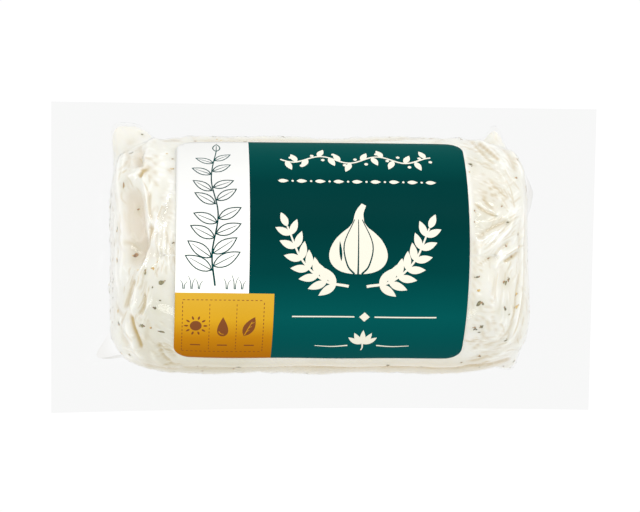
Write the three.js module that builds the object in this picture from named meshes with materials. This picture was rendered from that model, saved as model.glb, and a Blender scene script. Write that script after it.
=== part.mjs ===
// Herb goat cheese log in a clear vacuum pack, lying on its flat back web with the label up.
// Millimetres, +Z up, +X along the log. The origin is the centre of the pack's base.
// The pack is one closed solid: the log under its formed front web, a lip and a groove where the
// web gathers over each end, small pinched ears at the corners, and the flat sealed border.
// The label is a thin sheet bent round the top of the log.
import * as THREE from "three";

// ---- sealed border (cut a little out of square) ----
const BORDER_LEFT = -53.3; // left cut edge
const BORDER_RIGHT_BACK = 53.3; // right cut edge at the back corner
const BORDER_RIGHT_FRONT = 51.7; // right cut edge at the front corner
const BORDER_BACK_LEFT = 30.05; // back cut edge at the left corner
const BORDER_BACK_RIGHT = 29.1; // back cut edge at the right corner
const BORDER_FRONT = -30.05; // front cut edge at its corners
const BORDER_FRONT_BOW = 0.6; // the front edge bows in by this much at its middle
const BORDER_THICK = 0.6; // both webs of film, sealed together

// ---- cheese log ----
const LOG_X = -2.5; // centre of the log on the border
const LOG_Y = 0.35;
const LOG_HALF_WIDTH = 22.1; // at the widest height
const LOG_TOP = 40.2; // height of the top line
const LOG_WIDEST = 18.0; // height of the widest section
const LOG_TOP_HALF_LENGTH = 29.2; // half length of the straight top line
const LOG_HALF_LENGTH = 39.35; // half length at the foot of the ends
const LOG_END_LEVEL = 10.0; // height where the ends reach that length
const PLAN_POWER = 6.5; // roundness of the log's corners in plan
const LOWER_POWER = 3.5; // roundness of the section below its widest height
const FOOT_HALF_WIDTH = 18.8; // where the webs meet under the log

// ---- gathers of film ----
const LIP_HEIGHT = 0.7; // lip where the web folds over the end
const LIP_LEVEL = 33.5;
const LIP_SPREAD = 2.2;
const GROOVE_DEPTH = 1.3; // groove under the lip
const GROOVE_LEVEL = 26.0;
const GROOVE_SPREAD = 4.0;
const EAR_HEIGHT = 3.6; // pinched corners of the formed web
const EAR_AT = { backRight: 1.0, backLeft: 1.0, frontLeft: 0.9, frontRight: 0.45 };

// ---- label ----
const LABEL_X = -3.8; // centre of the label along the log
const LABEL_ARC = 2.0; // centre of the label round the log, from the top line to the back
const LABEL_HALF_LENGTH = 26.0;
const LABEL_HALF_ARC = 23.6;
const LABEL_CORNER = 3.0;
const LABEL_THICK = 0.3;
const LABEL_GAP = 0.3; // film and adhesive under it
const LABEL_TURN = -0.014; // it was stuck on slightly out of true, in radians

// ---- facets ----
const END_STEPS = 8; // columns from the middle of an end to a corner
const SIDE_STEPS = 14; // columns from a corner to the middle of a side
const CROWN_RINGS = 12; // rings from the top line to the widest height
const FOOT_RINGS = 5; // rings from there to the foot
const LABEL_ROWS = 8; // rows from the label's middle to its corners
const CORNER_ROWS = 5; // rows through a corner
const LABEL_COLUMNS = 14; // columns along it
const QUARTER = END_STEPS + SIDE_STEPS;
const COLUMNS = 4 * QUARTER;

// Half length of the log at a height, with the lip and groove of the gathered web.
function halfLength(z, folds = 1) {
  const up = Math.max(0, (z - LOG_END_LEVEL) / (LOG_TOP - LOG_END_LEVEL));
  const plain = LOG_TOP_HALF_LENGTH + (LOG_HALF_LENGTH - LOG_TOP_HALF_LENGTH) * Math.sqrt(Math.max(0, 1 - up * up));
  const bell = (level, spread) => Math.exp(-(((z - level) / spread) ** 2));
  return plain + folds * (LIP_HEIGHT * bell(LIP_LEVEL, LIP_SPREAD) - GROOVE_DEPTH * bell(GROOVE_LEVEL, GROOVE_SPREAD));
}

// Height and half width of the section: angle 0 is the top line, a quarter turn is the widest height.
function crown(angle) {
  return { z: LOG_WIDEST + (LOG_TOP - LOG_WIDEST) * Math.cos(angle), w: LOG_HALF_WIDTH * Math.sin(angle) };
}
function foot(share) {
  const lowest = Math.acos((FOOT_HALF_WIDTH / LOG_HALF_WIDTH) ** (LOWER_POWER / 2));
  const a = share * lowest;
  return {
    z: LOG_WIDEST * (1 - Math.sin(a) ** (2 / LOWER_POWER)),
    w: LOG_HALF_WIDTH * Math.cos(a) ** (2 / LOWER_POWER),
  };
}

// Point of a plan outline with half sizes l and w, at plan angle a of the first quarter.
const outline = (l, w, a) => [l * Math.cos(a) ** (2 / PLAN_POWER), w * Math.sin(a) ** (2 / PLAN_POWER)];

// Plan angles that space the columns evenly along the widest outline, with one column on each corner.
function columnAngles() {
  const fine = 4000;
  const along = [0];
  const corner = Math.PI / 4;
  for (let i = 1; i <= fine; i++) {
    const [x0, y0] = outline(LOG_HALF_LENGTH, LOG_HALF_WIDTH, ((i - 1) / fine) * (Math.PI / 2));
    const [x1, y1] = outline(LOG_HALF_LENGTH, LOG_HALF_WIDTH, (i / fine) * (Math.PI / 2));
    along.push(along[i - 1] + Math.hypot(x1 - x0, y1 - y0));
  }
  const at = (s) => {
    let i = along.findIndex((v) => v >= s);
    if (i < 1) i = 1;
    const f = (s - along[i - 1]) / (along[i] - along[i - 1]);
    return ((i - 1 + f) / fine) * (Math.PI / 2);
  };
  const half = along[Math.round((corner / (Math.PI / 2)) * fine)];
  const angles = [];
  for (let k = 0; k <= QUARTER; k++) {
    if (k === 0) angles.push(0);
    else if (k === QUARTER) angles.push(Math.PI / 2);
    else if (k <= END_STEPS) angles.push(at((half * k) / END_STEPS));
    else angles.push(at(half + ((along[fine] - half) * (k - END_STEPS)) / SIDE_STEPS));
  }
  return angles;
}
const ANGLES = columnAngles();

// A column's quarter: its plan angle, the signs of x and y, and its place on the cut edge.
function column(i) {
  const quarter = Math.floor(i / QUARTER);
  const step = i % QUARTER;
  const k = quarter % 2 === 0 ? step : QUARTER - step;
  return { k, sx: quarter === 0 || quarter === 3 ? 1 : -1, sy: quarter < 2 ? 1 : -1 };
}
function cutEdge({ k, sx, sy }) {
  const right = (y) => {
    const t = (y - BORDER_FRONT) / (BORDER_BACK_RIGHT - BORDER_FRONT);
    return BORDER_RIGHT_FRONT + (BORDER_RIGHT_BACK - BORDER_RIGHT_FRONT) * t;
  };
  const back = (x) => {
    const t = (x - BORDER_LEFT) / (BORDER_RIGHT_BACK - BORDER_LEFT);
    return BORDER_BACK_LEFT + (BORDER_BACK_RIGHT - BORDER_BACK_LEFT) * t;
  };
  const front = (x) => BORDER_FRONT + BORDER_FRONT_BOW * Math.max(0, 1 - (x / BORDER_RIGHT_FRONT) ** 2);
  if (k <= END_STEPS) {
    const share = k / END_STEPS;
    const x0 = sx < 0 ? BORDER_LEFT : 0;
    const y = sy > 0 ? share * (sx > 0 ? BORDER_BACK_RIGHT : BORDER_BACK_LEFT) : share * BORDER_FRONT;
    return [sx > 0 ? right(y) : x0, y];
  }
  const share = (QUARTER - k) / SIDE_STEPS;
  const x = share * (sx < 0 ? BORDER_LEFT : sy > 0 ? BORDER_RIGHT_BACK : BORDER_RIGHT_FRONT);
  return [x, sy > 0 ? back(x) : front(x)];
}
function ear({ k, sx, sy }) {
  const which = sy > 0 ? (sx > 0 ? EAR_AT.backRight : EAR_AT.backLeft) : sx > 0 ? EAR_AT.frontRight : EAR_AT.frontLeft;
  return EAR_HEIGHT * which * Math.exp(-(((k - END_STEPS) / 1.1) ** 2));
}

// ---- the sealed pack: rings from the top line down to the cut edge, then the flat back ----
function packGeometry() {
  const points = [];
  const rings = [];
  const addRing = (place) => {
    const ring = [];
    for (let i = 0; i < COLUMNS; i++) {
      points.push(place(column(i), i));
      ring.push(points.length - 1);
    }
    rings.push(ring);
  };
  const onLog = (z, w) => (c) => {
    const endShare = Math.max(0, 1 - c.k / (END_STEPS + 3));
    const [x, y] = outline(halfLength(z, endShare), w, ANGLES[c.k]);
    return [LOG_X + c.sx * x, LOG_Y + c.sy * y, z];
  };
  for (let r = 1; r <= CROWN_RINGS; r++) {
    const { z, w } = crown((r / CROWN_RINGS) * (Math.PI / 2));
    addRing(onLog(z, w));
  }
  for (let r = 1; r <= FOOT_RINGS; r++) {
    const { z, w } = foot(r / FOOT_RINGS);
    addRing(onLog(z, w));
  }
  const last = rings[rings.length - 1].map((i) => points[i]);
  const edges = [...Array(COLUMNS).keys()].map((i) => cutEdge(column(i)));
  const footZ = last[0][2];
  for (const [share, drop] of [[0.16, 0.62], [0.34, 0.9], [0.62, 1], [1, 1]])
    addRing((c, i) => {
      const z = footZ + (BORDER_THICK - footZ) * drop;
      const lift = ear(c) * Math.max(0, 1 - share / 0.62) * (share < 0.2 ? 1 : 0.8);
      return [
        last[i][0] + (edges[i][0] - last[i][0]) * share,
        last[i][1] + (edges[i][1] - last[i][1]) * share,
        z + lift,
      ];
    });
  addRing((c, i) => [edges[i][0], edges[i][1], 0]);

  const triangles = [];
  for (let r = 0; r + 1 < rings.length; r++)
    for (let i = 0; i < COLUMNS; i++) {
      const j = (i + 1) % COLUMNS;
      const [a, b, c, d] = [rings[r][i], rings[r][j], rings[r + 1][j], rings[r + 1][i]];
      triangles.push([a, d, c], [a, c, b]);
    }
  // The top line: mirrored columns share its points.
  const line = [];
  for (let i = 0; i < COLUMNS; i++) {
    const m = (COLUMNS - i) % COLUMNS;
    if (m < i) line.push(line[m]);
    else {
      const p = points[rings[0][i]];
      points.push([LOG_X + (p[0] - LOG_X) * 0.985, LOG_Y, LOG_TOP]);
      line.push(points.length - 1);
    }
  }
  for (let i = 0; i < COLUMNS; i++) {
    const j = (i + 1) % COLUMNS;
    const [a, b, c, d] = [line[i], line[j], rings[0][j], rings[0][i]];
    if (a !== b) triangles.push([a, c, b]);
    triangles.push([a, d, c]);
  }
  // The flat back web.
  points.push([0, 0, 0]);
  const centre = points.length - 1;
  const under = rings[rings.length - 1];
  for (let i = 0; i < COLUMNS; i++) triangles.push([centre, under[(i + 1) % COLUMNS], under[i]]);
  return solid(points, triangles);
}

// ---- the label ----
// The log's section at one place along it: points with their arc length from the top line.
function sectionAt(x) {
  const steps = 180;
  const list = [];
  for (let i = 0; i <= steps; i++) {
    const { z, w } = crown((i / steps) * (Math.PI / 2));
    const share = Math.min(1, Math.abs(x - LOG_X) / halfLength(z, 0));
    const y = w * (1 - share ** PLAN_POWER) ** (1 / PLAN_POWER);
    const s = i ? list[i - 1].s + Math.hypot(y - list[i - 1].y, z - list[i - 1].z) : 0;
    list.push({ y, z, s });
  }
  return list;
}
function onSection(list, arc, out) {
  const s = Math.abs(arc);
  let i = list.findIndex((p) => p.s >= s);
  if (i < 1) i = 1;
  const [p, q] = [list[i - 1], list[i]];
  const f = (s - p.s) / (q.s - p.s);
  const angle = ((i - 1 + f) / (list.length - 1)) * (Math.PI / 2);
  const side = Math.sign(arc) || 1;
  return [
    LOG_Y + side * (p.y + (q.y - p.y) * f + out * Math.sin(angle)),
    p.z + (q.z - p.z) * f + out * Math.cos(angle),
  ];
}
// Distances of the label's rows from its middle: even rows, then finer ones through the corners.
function labelRows() {
  const straight = LABEL_HALF_ARC - LABEL_CORNER;
  const half = [];
  for (let j = 1; j <= LABEL_ROWS; j++) half.push((straight * j) / LABEL_ROWS);
  for (let j = 1; j <= CORNER_ROWS; j++)
    half.push(straight + LABEL_CORNER * Math.sin(((j / CORNER_ROWS) * Math.PI) / 2));
  return [...half.map((v) => -v).reverse(), 0, ...half];
}
function labelGeometry() {
  const list = labelRows();
  const rows = list.length - 1;
  const across = LABEL_COLUMNS;
  const points = [];
  const grid = [[], []];
  for (let j = 0; j <= rows; j++) {
    const v = list[j];
    const past = Math.max(0, Math.abs(v) - (LABEL_HALF_ARC - LABEL_CORNER));
    const half = LABEL_HALF_LENGTH - LABEL_CORNER + Math.sqrt(Math.max(0, LABEL_CORNER ** 2 - past ** 2));
    for (const side of [0, 1]) grid[side].push([]);
    for (let i = 0; i <= across; i++) {
      const u = half * ((2 * i) / across - 1);
      const x = LABEL_X + u - v * Math.sin(LABEL_TURN);
      const arc = LABEL_ARC + v + u * Math.sin(LABEL_TURN);
      const section = sectionAt(x);
      for (const side of [0, 1]) {
        const [y, z] = onSection(section, arc, LABEL_GAP + side * LABEL_THICK);
        points.push([x, y, z]);
        grid[side][j].push(points.length - 1);
      }
    }
  }
  const triangles = [];
  const quad = (a, b, c, d) => triangles.push([a, b, c], [a, c, d]);
  for (let j = 0; j < rows; j++)
    for (let i = 0; i < across; i++) {
      quad(grid[1][j][i], grid[1][j][i + 1], grid[1][j + 1][i + 1], grid[1][j + 1][i]);
      quad(grid[0][j][i], grid[0][j + 1][i], grid[0][j + 1][i + 1], grid[0][j][i + 1]);
    }
  for (let j = 0; j < rows; j++) {
    quad(grid[0][j][0], grid[1][j][0], grid[1][j + 1][0], grid[0][j + 1][0]);
    quad(grid[0][j][across], grid[0][j + 1][across], grid[1][j + 1][across], grid[1][j][across]);
  }
  for (let i = 0; i < across; i++) {
    quad(grid[0][0][i], grid[0][0][i + 1], grid[1][0][i + 1], grid[1][0][i]);
    quad(grid[0][rows][i], grid[1][rows][i], grid[1][rows][i + 1], grid[0][rows][i + 1]);
  }
  return solid(points, triangles);
}

function solid(points, triangles) {
  const geometry = new THREE.BufferGeometry();
  geometry.setAttribute("position", new THREE.Float32BufferAttribute(points.flat(), 3));
  geometry.setIndex(triangles.flat());
  geometry.computeVertexNormals();
  return geometry;
}

const pack = new THREE.Group();

const pouch = new THREE.Mesh(
  packGeometry(),
  new THREE.MeshStandardMaterial({ color: 0xeeecdf, roughness: 0.18, metalness: 0 }),
);
pouch.name = "sealed_pouch";
pack.add(pouch);

const label = new THREE.Mesh(
  labelGeometry(),
  new THREE.MeshStandardMaterial({ color: 0x004b49, roughness: 0.4, metalness: 0 }),
);
label.name = "label";
pack.add(label);

export default pack;
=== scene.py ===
import math

import bpy
import numpy as np
from mathutils import Matrix, Vector
from mathutils.geometry import delaunay_2d_cdt


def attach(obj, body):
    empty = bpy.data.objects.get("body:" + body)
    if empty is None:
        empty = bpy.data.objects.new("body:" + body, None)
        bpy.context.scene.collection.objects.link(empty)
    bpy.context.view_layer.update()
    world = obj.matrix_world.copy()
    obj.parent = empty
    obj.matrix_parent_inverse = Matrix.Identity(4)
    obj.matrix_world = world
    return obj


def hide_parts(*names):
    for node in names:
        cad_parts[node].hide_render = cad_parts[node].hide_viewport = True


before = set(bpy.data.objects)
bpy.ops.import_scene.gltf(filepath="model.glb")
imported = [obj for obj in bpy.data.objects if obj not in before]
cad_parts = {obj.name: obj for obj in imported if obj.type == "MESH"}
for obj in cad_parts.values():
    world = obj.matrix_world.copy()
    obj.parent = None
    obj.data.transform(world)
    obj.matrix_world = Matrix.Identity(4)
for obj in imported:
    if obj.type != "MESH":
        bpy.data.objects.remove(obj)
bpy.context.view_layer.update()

rng = np.random.default_rng(20)
MM = 0.001

# ------------------------------------------------------------------ camera
# The picture is 640 x 512. The camera looks down on the pack from a little to its left.
WIDE, HIGH = 640, 512
TILT = math.radians(4.5)
DISTANCE = 420.0
MM_PER_PIXEL = 0.195
AIM = np.array([-1.25, 0.23, 0.0])
BACK = np.array([-math.sin(TILT), 0.0, math.cos(TILT)])
RIGHT = np.array([math.cos(TILT), 0.0, math.sin(TILT)])
UP = np.cross(BACK, RIGHT)
EYE = AIM + BACK * DISTANCE
FOCAL = DISTANCE / MM_PER_PIXEL


def to_picture(p):
    d = p - EYE
    depth = -(d @ BACK)
    return WIDE / 2 + FOCAL * (d @ RIGHT) / depth, HIGH / 2 - FOCAL * (d @ UP) / depth


# ------------------------------------------------------------------ sizes of the pack
LOG_X, LOG_Y = -2.5, 0.35
LOG_HALF_WIDTH = 22.1
LOG_TOP = 40.2
LOG_WIDEST = 18.0
LOG_TOP_HALF = 29.2
LOG_HALF = 39.35
LOG_END_LEVEL = 10.0
PLAN_POWER = 6.5
LOWER_POWER = 3.5
FOOT_HALF_WIDTH = 18.8
LABEL_X, LABEL_ARC, LABEL_TURN = -3.8, 2.0, -0.014
LABEL_HALF_LENGTH, LABEL_HALF_ARC, LABEL_CORNER = 26.0, 23.6, 3.0

END_COLS = 110
SIDE_COLS = 50
QUARTER = END_COLS + SIDE_COLS
COLS = 4 * QUARTER
CROWN = 108
FOOT = 16
BORDER = 18


def half_length(z):
    up = np.clip((z - LOG_END_LEVEL) / (LOG_TOP - LOG_END_LEVEL), 0, 1)
    return LOG_TOP_HALF + (LOG_HALF - LOG_TOP_HALF) * np.sqrt(1 - up**2)


def quarter_angles():
    a = np.linspace(0, math.pi / 2, 20001)
    x = LOG_HALF * np.cos(a).clip(0) ** (2 / PLAN_POWER)
    y = LOG_HALF_WIDTH * np.sin(a) ** (2 / PLAN_POWER)
    s = np.concatenate([[0], np.cumsum(np.hypot(np.diff(x), np.diff(y)))])
    half = np.interp(math.pi / 4, a, s)
    want = np.concatenate([np.linspace(0, half, END_COLS + 1), np.linspace(half, s[-1], SIDE_COLS + 1)[1:]])
    return np.interp(want, s, a), want, s[-1]


ANGLE, ALONG, QUARTER_LENGTH = quarter_angles()
ROUND = 4 * QUARTER_LENGTH
col = np.arange(COLS)
quarter = col // QUARTER
step = col % QUARTER
K = np.where(quarter % 2 == 0, step, QUARTER - step)
SX = np.where((quarter == 0) | (quarter == 3), 1.0, -1.0)
SY = np.where(quarter < 2, 1.0, -1.0)
CA = np.cos(ANGLE[K]).clip(0) ** (2 / PLAN_POWER)
SA = np.sin(ANGLE[K]) ** (2 / PLAN_POWER)
# Distance of a column round the log, from the middle of the right end.
S = np.where(
    quarter % 2 == 0,
    quarter * QUARTER_LENGTH + ALONG[K],
    (quarter + 1) * QUARTER_LENGTH - ALONG[K],
)

phi = np.arange(1, CROWN + 1) / CROWN * math.pi / 2
Z = LOG_WIDEST + (LOG_TOP - LOG_WIDEST) * np.cos(phi)
W = LOG_HALF_WIDTH * np.sin(phi)
lowest = math.acos((FOOT_HALF_WIDTH / LOG_HALF_WIDTH) ** (LOWER_POWER / 2))
low = np.arange(1, FOOT + 1) / FOOT * lowest
Z = np.concatenate([Z, LOG_WIDEST * (1 - np.sin(low) ** (2 / LOWER_POWER))])
W = np.concatenate([W, LOG_HALF_WIDTH * np.cos(low) ** (2 / LOWER_POWER)])
RINGS = CROWN + FOOT
# Distance of a ring down the side of the log, from the top line.
T = np.concatenate([[LOG_HALF_WIDTH * phi[0]], np.hypot(np.diff(Z), np.diff(W))]).cumsum()

base = np.zeros((RINGS, COLS, 3))
base[..., 0] = LOG_X + SX * half_length(Z)[:, None] * CA
base[..., 1] = LOG_Y + SY * W[:, None] * SA
base[..., 2] = Z[:, None]


def grid_normals(p):
    dc = np.roll(p, -1, 1) - np.roll(p, 1, 1)
    dr = np.gradient(p, axis=0)
    n = np.cross(dr, dc)
    return n / np.linalg.norm(n, axis=-1, keepdims=True).clip(1e-9)


normal = grid_normals(base)

# ------------------------------------------------------------------ label sheet on the log
SECTION_X = np.linspace(-34.0, 26.0, 121)
SECTION_PHI = np.linspace(0, math.pi / 2, 241)


def section_tables():
    z = LOG_WIDEST + (LOG_TOP - LOG_WIDEST) * np.cos(SECTION_PHI)
    w = LOG_HALF_WIDTH * np.sin(SECTION_PHI)
    share = np.minimum(1, np.abs(SECTION_X[:, None] - LOG_X) / half_length(z)[None, :])
    y = w[None, :] * (1 - share**PLAN_POWER) ** (1 / PLAN_POWER)
    s = np.concatenate(
        [np.zeros((len(SECTION_X), 1)), np.cumsum(np.hypot(np.diff(y, axis=1), np.diff(z)[None, :]), 1)], 1
    )
    return y, z, s


SEC_Y, SEC_Z, SEC_S = section_tables()


def label_points(u, v, out):
    """Places on the log of label points (u along it, v round it), lifted by out."""
    x = LABEL_X + u - v * math.sin(LABEL_TURN)
    arc = LABEL_ARC + v + u * math.sin(LABEL_TURN)
    at = np.clip((x - SECTION_X[0]) / (SECTION_X[1] - SECTION_X[0]), 0, len(SECTION_X) - 1.001)
    i = at.astype(int)
    f = at - i
    p = np.zeros((len(u), 3))
    # Arc length to section angle, between the two nearest sections.
    ang = np.zeros(len(u))
    for j in np.unique(i):
        m = i == j
        lo = np.interp(np.abs(arc[m]), SEC_S[j], SECTION_PHI)
        hi = np.interp(np.abs(arc[m]), SEC_S[j + 1], SECTION_PHI)
        ang[m] = lo * (1 - f[m]) + hi * f[m]
        ylo = np.interp(ang[m], SECTION_PHI, SEC_Y[j])
        yhi = np.interp(ang[m], SECTION_PHI, SEC_Y[j + 1])
        p[m, 1] = ylo * (1 - f[m]) + yhi * f[m]
    side = np.where(arc >= 0, 1.0, -1.0)
    p[:, 0] = x
    p[:, 1] = LOG_Y + side * (p[:, 1] + out * np.sin(ang))
    p[:, 2] = LOG_WIDEST + (LOG_TOP - LOG_WIDEST) * np.cos(ang) + out * np.cos(ang)
    return p


# How far a point of the log lies outside the label (0 under it), in millimetres.
crown_arc = np.concatenate([T[:CROWN], np.full(FOOT, 99.0)])[:, None] * SY[None, :]
lab_u = base[..., 0] - LABEL_X
lab_v = crown_arc - LABEL_ARC
over_u = np.abs(lab_u) - (LABEL_HALF_LENGTH - LABEL_CORNER)
over_v = np.abs(lab_v) - (LABEL_HALF_ARC - LABEL_CORNER)
outside = np.hypot(over_u.clip(0), over_v.clip(0)) - LABEL_CORNER
outside = np.where((over_u < 0) & (over_v < 0), -3.0, outside)
free = np.clip((outside - 0.1) / 1.3, 0, 1)
free = free * free * (3 - 2 * free)

# ------------------------------------------------------------------ folds and wrinkles
body = np.zeros((RINGS, COLS))  # moves film and cheese together, outward
tan_shade = np.zeros((RINGS, COLS))  # painted tan shade in fold valleys, along the front edge and on filled ears
span_shade = np.zeros((RINGS, COLS))  # painted thin rosy shade where the web spans a hollow
painted_highlight = np.zeros((RINGS, COLS))  # painted highlight: bright lines along drawn-up folds and the label edge
gloss_x, gloss_y = to_picture(base)
seen = np.zeros((RINGS, COLS), bool)
seen[: CROWN + 1] = True
slope = np.clip((normal[..., 2] - 0.04) / 0.15, 0, 1)


def along_line(px, py, pts):
    """Signed distance to a line of points, and the place along it from 0 to 1."""
    pts = np.array(pts, float)
    seg = np.diff(pts, axis=0)
    length = np.hypot(seg[:, 0], seg[:, 1])
    total = length.sum()
    best = np.full(px.shape, 1e9)
    signed = np.full(px.shape, 1e9)
    place = np.zeros(px.shape)
    run = 0.0
    for (x0, y0), (dx, dy), ln in zip(pts[:-1], seg, length):
        t = ((px - x0) * dx + (py - y0) * dy) / (ln * ln)
        tc = np.clip(t, 0, 1)
        ex, ey = px - (x0 + tc * dx), py - (y0 + tc * dy)
        d = np.hypot(ex, ey)
        m = d < best
        side = np.where(dx * (py - y0) - dy * (px - x0) > 0, 1.0, -1.0)
        best = np.where(m, d, best)
        signed = np.where(m, d * side, signed)
        place = np.where(m, (run + tc * ln) / total, place)
        run += ln
    return signed, place


def smooth(pts, n=6):
    """A smooth line through points."""
    pts = np.array(pts, float)
    if len(pts) < 3:
        return pts
    q = np.vstack([2 * pts[0] - pts[1], pts, 2 * pts[-1] - pts[-2]])
    out = []
    for i in range(1, len(q) - 2):
        for t in np.arange(n) / n:
            out.append(
                0.5
                * (
                    2 * q[i]
                    + (q[i + 1] - q[i - 1]) * t
                    + (2 * q[i - 1] - 5 * q[i] + 4 * q[i + 1] - q[i + 2]) * t**2
                    + (3 * q[i] - q[i - 1] - 3 * q[i + 1] + q[i + 2]) * t**3
                )
            )
    out.append(q[-2])
    return np.array(out)


def fold(pts, height, wide, wide2=None, line_shade=0.0, ends=0.2, field=None, hollow_shade=0.0):
    """A fold seen in the picture: height in mm, half width in pixels on its two sides."""
    field = body if field is None else field
    wide2 = wide if wide2 is None else wide2
    line = smooth(pts)
    reach = 3.2 * max(wide, wide2) + 2
    m = (
        seen
        & (gloss_x > line[:, 0].min() - reach)
        & (gloss_x < line[:, 0].max() + reach)
        & (gloss_y > line[:, 1].min() - reach)
        & (gloss_y < line[:, 1].max() + reach)
    )
    if not m.any():
        return
    d, place = along_line(gloss_x[m], gloss_y[m], line)
    w = np.where(d > 0, wide, wide2)
    middle = line[:, 0].mean()
    height *= 0.42 if middle > 455 else 0.75 if middle < 185 else 1.0
    taper = np.clip(np.minimum(place, 1 - place) / max(ends, 1e-3), 0, 1)
    taper = taper * taper * (3 - 2 * taper)
    taper = taper * slope[m]
    bell = np.exp(-((d / w) ** 2)) * taper
    field[m] += height * bell
    # Painted tan shade along the valley line of the fold.
    if line_shade:
        narrow = np.where(w > 4, 0.8 * w, np.minimum(0.8 * w, 1.5))
        tan_shade[m] = np.maximum(tan_shade[m], line_shade * np.exp(-((d / narrow) ** 2)) * taper)
    # Painted highlight along a raised fold.
    elif height > 0:
        painted_highlight[m] = np.maximum(painted_highlight[m], 0.75 * np.exp(-((d / np.minimum(0.6 * w, 1.3)) ** 2)) * taper)
    # Painted rosy shade over the hollow of the fold.
    if hollow_shade:
        span_shade[m] = np.maximum(span_shade[m], hollow_shade * np.exp(-((d / (1.2 * w)) ** 2)) * taper)


# Left end: the web is gathered into two long lips with a hollow between them. Fold valleys get painted tan shade,
# raised folds painted highlights, and the hollow a painted rosy shade.
fold([(163, 136), (153, 143), (147.5, 152), (146.5, 163), (144.5, 180), (146.5, 196), (150, 214), (153, 226)], 1.0, 3.2, 10, ends=0.12)
fold([(138, 136), (128, 143), (122.5, 155), (121, 172), (120.5, 190), (121.5, 210), (123.5, 235), (123, 262), (120, 290)], 0.9, 6, 4.5, ends=0.12)
fold([(133, 182), (133, 200), (136, 225), (137, 250), (132, 272)], -2.4, 9, 8, line_shade=0.22, ends=0.22, hollow_shade=0.9)
fold([(143, 148), (139, 158), (140, 168)], -1.5, 6, 5, line_shade=0.35, ends=0.25, hollow_shade=0.5)
fold([(126, 180), (133, 177), (139, 175), (146, 170)], 0.9, 3, 3.5, ends=0.2)
fold([(139, 178), (143.5, 175.5), (148, 170)], -0.5, 2, 2, line_shade=0.9)
fold([(133, 149), (137, 153), (144, 160), (146, 170)], 0.45, 1.8)
fold([(137, 146), (143, 152), (147, 160)], -0.3, 1.6, line_shade=0.45)
fold([(126, 150), (129, 158), (128, 170)], -0.35, 2, line_shade=0.3)
fold([(177, 176), (167, 192.8), (161.5, 207), (156.2, 223), (146.4, 250.6), (142, 269), (139, 282), (134.5, 303), (129.5, 315)], 0.75, 2.2, 2.4, ends=0.06)
fold([(150, 222), (151, 232), (147, 244), (144, 252)], -0.6, 2.0, 2.4, line_shade=0.6)
fold([(150.5, 190), (149.5, 206), (152.5, 222)], -0.5, 1.6, 2.2, line_shade=0.45)
fold([(171, 197), (165, 210), (160, 224)], -0.35, 2.2, line_shade=0.2)
for x, y0, y1, h in ((156.5, 228, 262, -0.22), (158.8, 226, 266, 0.22), (161.2, 230, 258, -0.2), (163.5, 224, 270, 0.2), (166.5, 232, 264, -0.16), (169.5, 222, 274, 0.16), (173, 228, 268, -0.14)):
    fold([(x + 1, y0), (x - 0.4, (y0 + y1) / 2), (x, y1)], h, 1.15, line_shade=0.22 if h < 0 else 0)
fold([(134, 277), (128.5, 289), (124, 311)], -0.55, 2.0, line_shade=0.65)
fold([(137.5, 282), (133, 296), (128, 312)], 0.45, 1.8)
fold([(144, 291), (143, 306), (136, 317.5)], -0.45, 1.9, line_shade=0.6)
fold([(147, 288), (147, 305), (140, 320)], 0.4, 2.2)
fold([(128.5, 313), (133.5, 333), (142, 353)], -0.5, 1.8, 2.4, line_shade=1.0, ends=0.15)
fold([(124.5, 318), (129, 336), (137, 354), (147, 362)], 0.7, 3.2, 2.4)
fold([(119, 322), (121, 338), (128, 352)], -0.5, 3.0, line_shade=0.25)
fold([(157, 343), (163, 358), (174, 366)], -0.6, 2.0, line_shade=0.8)
fold([(164, 346), (172, 355), (178, 360)], -0.35, 1.8, line_shade=0.45)
fold([(150, 352), (156, 362), (166, 369)], 0.45, 2.2)
fold([(140, 364), (158, 369.5), (182, 371)], -0.4, 1.8, line_shade=0.8)
fold([(116, 205), (114.5, 235), (116, 262), (117.5, 300)], 0.35, 2.2)
fold([(127, 196), (126, 216), (128.5, 240)], -0.3, 1.8, line_shade=0.25)
fold([(140, 222), (135, 238), (131, 246)], 0.4, 2.4)
fold([(143, 232), (137, 246), (134, 258)], -0.3, 1.8, line_shade=0.3)
# Right end: arcs over the shoulder, then crossing diagonals, with painted tan shade in the valleys and painted
# highlights on the raised folds.
fold([(446, 134.5), (466, 137.6), (478.7, 148.3), (489, 158.5)], -0.32, 1.7, line_shade=0.55, ends=0.12)
fold([(476, 141), (487.6, 150), (501, 162)], -0.32, 1.6, line_shade=0.65, ends=0.15)
fold([(458, 133.5), (476, 138.5), (489, 148), (503, 164), (511, 176)], 0.6, 2.4)
fold([(470, 143), (480, 153), (489, 165)], 0.4, 2.2)
fold([(489, 135), (502, 146), (511, 160), (517, 176)], -0.45, 1.8, line_shade=0.35)
fold([(503, 138), (512, 152), (520, 171), (522, 182)], 1.1, 4.6, 4.0)
fold([(475, 203), (484, 208.8), (497, 215.5)], -0.5, 1.8, line_shade=0.6)
fold([(483.5, 188), (487, 200), (495, 208)], -0.42, 1.9, line_shade=0.5)
fold([(479, 193), (481, 203), (489, 211)], 0.4, 2.0)
for i in range(7):
    x, y = 489 + 2.9 * i, 178 + 3.3 * i
    fold([(x - 5.0, y + 3.2), (x, y), (x + 4.4, y - 2.0)], 0.12 if i % 2 else -0.12, 0.95, line_shade=0.0 if i % 2 else 0.4)
for i in range(5):
    x, y = 494 + 4.2 * i, 182 + 3.0 * i
    fold([(x - 3, y - 5), (x, y), (x + 3.5, y + 5.5)], -0.12, 0.9, line_shade=0.4)
fold([(477, 239), (492, 227), (509, 219.5)], -1.1, 3.0, 3.4, line_shade=0.55, ends=0.15)
fold([(482, 253), (497, 241.5), (509, 227), (516, 205)], 1.0, 3.6, 3.0, ends=0.15)
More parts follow.
